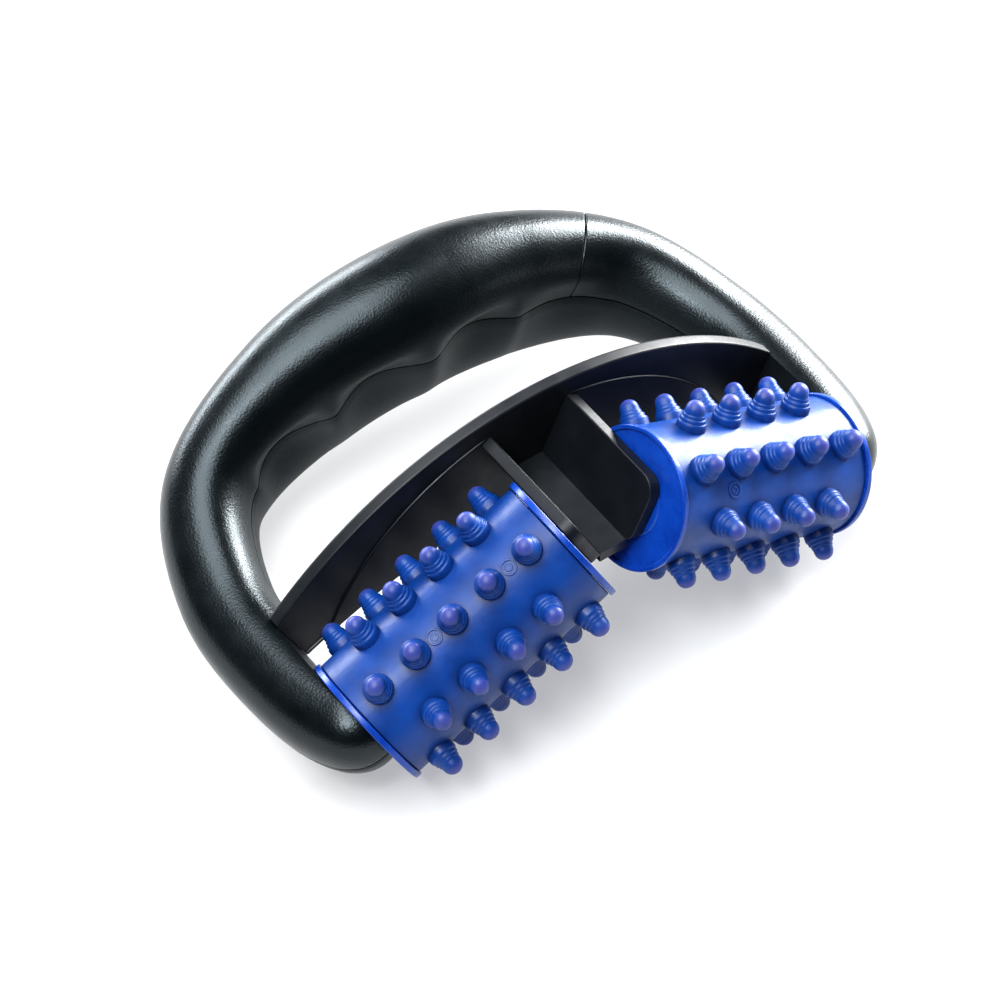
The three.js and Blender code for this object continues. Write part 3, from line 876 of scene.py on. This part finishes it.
def gloss_blue():
    s = Surface("cap_plastic", Specular_IOR_Level=0.5)
    s.colour(s.blend(s.spread(s.noise(6), 0, 1), (0.003, 0.040, 0.28), (0.005, 0.066, 0.40)))
    s.roughness(s.spread(s.noise(3, 3), 0.24, 0.34))
    s.bump(s.noise(0.8, 3), 0.01, 0.3)
    return s.material


def steel(name, tone):
    """Drawn or plated steel, with fine marks along the bar."""
    s = Surface(name, Metallic=1.0)
    s.colour(s.blend(s.spread(s.noise(2), 0, 1), (tone * 0.85,) * 3, (tone,) * 3))
    s.roughness(s.spread(s.noise(0.6, 4, (0.1, 1, 1)), 0.22, 0.38))
    s.bump(s.noise(0.3, 3, (0.1, 1, 1)), 0.01, 0.4)
    return s.material


def pale_plastic(name, tone):
    s = Surface(name, Specular_IOR_Level=0.45)
    s.colour(s.blend(s.spread(s.noise(4), 0, 1), tuple(c * 0.9 for c in tone), tone))
    s.roughness(s.spread(s.noise(2, 3), 0.42, 0.58))
    s.bump(s.noise(0.5, 3), 0.02, 0.3)
    return s.material


handle_plastic = grained_plastic()
bridge_plastic = smooth_plastic()
roller_rubber = sleeve_rubber()
cap_plastic = gloss_blue()
axle_steel = steel("axle_steel", 0.62)
screw_steel = steel("screw_steel", 0.5)
core_plastic = pale_plastic("core_plastic", (0.7, 0.71, 0.73))
washer_nylon = pale_plastic("washer_nylon", (0.035, 0.036, 0.038))


# ------------------------------------------------------------------ the object
handle_shell("upper_shell_moulding", True, -LOOP_HALF, COVER_SEAM - SEAM_GAP / 2, "upper_handle_shell")
handle_shell("end_cover_moulding", True, COVER_SEAM + SEAM_GAP / 2, LOOP_HALF, "upper_end_cover")
handle_shell("lower_shell_moulding", False, -LOOP_HALF, LOOP_HALF, "lower_handle_shell")
bridge()
for side in SPIN:
    sleeve(side)
    dress_core(side)
    axle(side)
    for end in (-1, 1):
        end_cap(side, end)
        washer(side, end)
for number, distance in enumerate(SCREW_PLACES, 1):
    screw(number, distance)


# ------------------------------------------------------------------ stage
CAMERA = {"azimuth": -34.77, "elevation": 50.25, "roll": -1.014, "distance": 1.0065, "lens": 162.2}
CAMERA_TARGET = Vector((-0.0104, -0.0131, 0.0328))
LIGHT_TARGET = Vector((0, 0, 0.02))


def add_camera():
    data = bpy.data.cameras.new("camera")
    data.lens = CAMERA["lens"]
    data.sensor_width = 36
    data.clip_start, data.clip_end = 0.01, 50
    camera = bpy.data.objects.new("camera", data)
    a, e = math.radians(CAMERA["azimuth"]), math.radians(CAMERA["elevation"])
    back = Vector((math.sin(a) * math.cos(e), -math.cos(a) * math.cos(e), math.sin(e)))
    camera.location = CAMERA_TARGET + back * CAMERA["distance"]
    camera.rotation_mode = "QUATERNION"
    roll = Matrix.Rotation(math.radians(CAMERA["roll"]), 3, "Z").to_quaternion()
    camera.rotation_quaternion = (-back).to_track_quat("-Z", "Y") @ roll
    bpy.context.scene.collection.objects.link(camera)
    bpy.context.scene.camera = camera


def add_light(name, place, size, power, tint=(1, 1, 1)):
    data = bpy.data.lights.new(name, "AREA")
    data.shape = "RECTANGLE"
    data.size, data.size_y = size
    data.energy = power
    data.color = tint
    light = bpy.data.objects.new(name, data)
    light.location = place
    light.rotation_mode = "QUATERNION"
    light.rotation_quaternion = (LIGHT_TARGET - Vector(place)).to_track_quat("-Z", "Y")
    bpy.context.scene.collection.objects.link(light)


def add_floor():
    bpy.ops.mesh.primitive_plane_add(size=12, location=(0, 0, -0.0002))
    floor = bpy.context.object
    floor.name = "floor"
    s = Surface("floor_white", Specular_IOR_Level=0.2)
    s.shader.inputs["Roughness"].default_value = 0.7
    s.shader.inputs["Emission Color"].default_value = (1, 1, 1, 1)
    s.shader.inputs["Emission Strength"].default_value = 0.37
    s.colour(s.blend(s.spread(s.noise(60), 0, 1), (0.425, 0.422, 0.42), (0.44, 0.437, 0.435)))
    floor.data.materials.append(s.material)


def add_world():
    world = bpy.data.worlds.new("studio")
    world.use_nodes = True
    background = world.node_tree.nodes["Background"]
    background.inputs["Color"].default_value = (0.72, 0.88, 1.0, 1)
    background.inputs["Strength"].default_value = 0.06
    bpy.context.scene.world = world


add_camera()
add_floor()
add_world()
add_light("right_softbox", (1.43, 0.32, 0.38), (0.9, 0.8), 72)
add_light("overhead_softbox", (-0.2, 0.1, 1.42), (1.3, 1.1), 31, (0.95, 0.98, 1.0))
add_light("back_softbox", (-0.05, 1.48, 0.32), (1.2, 0.45), 27, (0.94, 0.97, 1.0))
add_light("front_fill", (-0.70, -0.32, 1.23), (0.5, 0.4), 8, (0.95, 0.98, 1.0))
bpy.context.scene.view_settings.view_transform = "Standard"
bpy.context.scene.view_settings.look = "Medium High Contrast"
